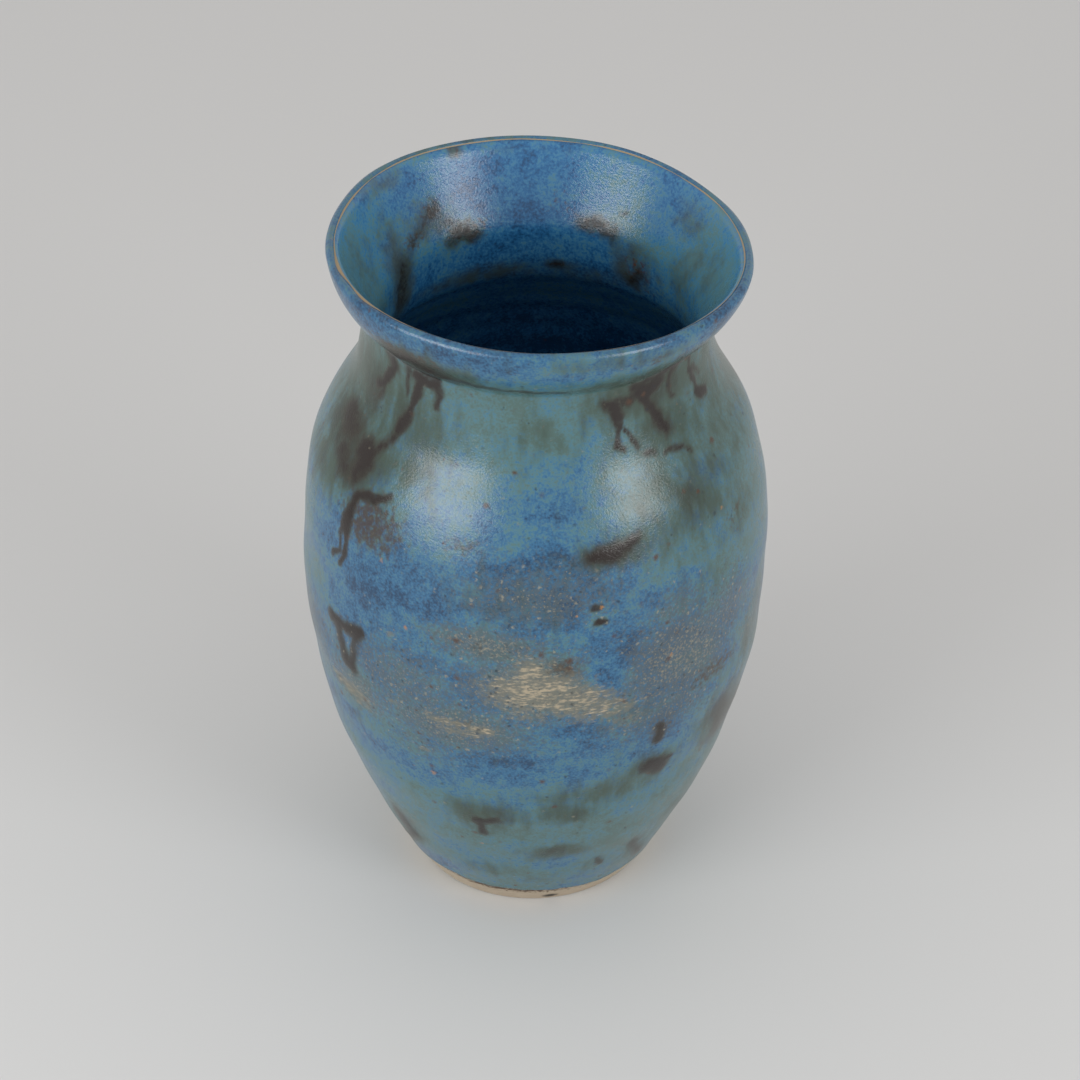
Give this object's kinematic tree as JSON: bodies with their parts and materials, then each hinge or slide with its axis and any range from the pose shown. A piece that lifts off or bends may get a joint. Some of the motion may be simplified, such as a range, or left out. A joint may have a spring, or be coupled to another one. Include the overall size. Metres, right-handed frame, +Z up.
{
  "type": "flower vase",
  "caption": "Wheel-thrown stoneware flower vase with a full belly, narrow trimmed foot, drawn-in neck and flared lip, under a mottled satin blue glaze.",
  "frame": {"origin": "centre of the flat ring that the vase stands on", "axes": "+Z up along the vase's own axis, from the foot to the mouth; the vase is round, so +X and +Y are any two level directions, and -Y is the side that faces the viewer"},
  "size_m": [0.16, 0.16, 0.2505],
  "materials": {
    "fired_clay": "bare fired buff stoneware, matt",
    "outside_glaze": "satin blue glaze, mottled olive and brown, worn to cream clay in places",
    "inside_glaze": "satin deep blue liner glaze"
  },
  "bodies": {
    "root": {"clay_body": "fired_clay", "outside_glaze": "outside_glaze", "inside_glaze": "inside_glaze"}
  },
  "joints": []
}
